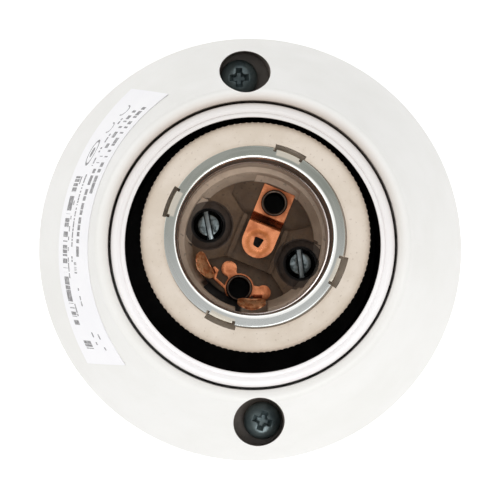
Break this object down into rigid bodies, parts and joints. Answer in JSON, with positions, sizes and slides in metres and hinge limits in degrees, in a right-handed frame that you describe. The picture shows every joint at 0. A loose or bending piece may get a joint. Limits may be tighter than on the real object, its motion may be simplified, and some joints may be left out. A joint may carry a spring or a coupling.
{
  "type": "swivel lamp holder",
  "caption": "Weatherproof swivel holder for a reflector lamp: conical bell with a sealed mouth, ceramic socket with a threaded shell, tilting on an arm that turns on a round wall base.",
  "frame": {"origin": "centre of the wall base's back face", "axes": "+Z out of the wall towards the lamp, +Y the top of the holder, +X the tilt axis"},
  "size_m": [0.075, 0.075, 0.092],
  "materials": {
    "white_moulding": "satin moulded",
    "white_silicone": "satin",
    "black_rubber": "satin",
    "porcelain": "unglazed",
    "plated_shell": "zinc plated",
    "copper_strip": "bright",
    "terminal_brass": "turned",
    "zinc_steel": "zinc plated",
    "dark_steel": "black passivated"
  },
  "bodies": {
    "base": {"wall_base": "white_moulding"},
    "arm": {"swivel_arm": "white_moulding", "pan_washer": "zinc_steel", "pan_screw": "zinc_steel", "tilt_bolt": "zinc_steel", "tilt_spring_washer": "zinc_steel", "tilt_nut": "zinc_steel", "hinge_washer_left": "black_rubber", "hinge_washer_right": "black_rubber"},
    "head": {"rear_shell": "white_moulding", "shell_gasket": "black_rubber", "front_bell": "white_moulding", "cover_screw_top": "dark_steel", "cover_screw_bottom": "dark_steel", "screw_washer_top": "black_rubber", "screw_washer_bottom": "black_rubber", "lamp_gasket": "white_silicone", "inner_sleeve": "black_rubber", "ceramic_body": "porcelain", "screw_shell": "plated_shell", "centre_contact": "copper_strip", "side_contact": "copper_strip", "centre_eyelet": "copper_strip", "side_eyelet": "copper_strip", "centre_terminal": "terminal_brass", "side_terminal": "terminal_brass", "centre_terminal_screw": "zinc_steel", "side_terminal_screw": "zinc_steel", "insert_screw_left": "zinc_steel", "insert_screw_right": "zinc_steel", "gland_body": "white_moulding", "gland_seal": "black_rubber", "gland_nut": "white_moulding"}
  },
  "joints": [
    {"name": "arm_turn", "type": "hinge", "parent": "base", "child": "arm", "pos_m": [0, 0, 0.009], "axis": [0, 0, 1], "range_deg": [-170, 170]},
    {"name": "head_tilt", "type": "hinge", "parent": "arm", "child": "head", "pos_m": [0, 0, 0.03], "axis": [1, 0, 0], "range_deg": [-45, 45]}
  ]
}
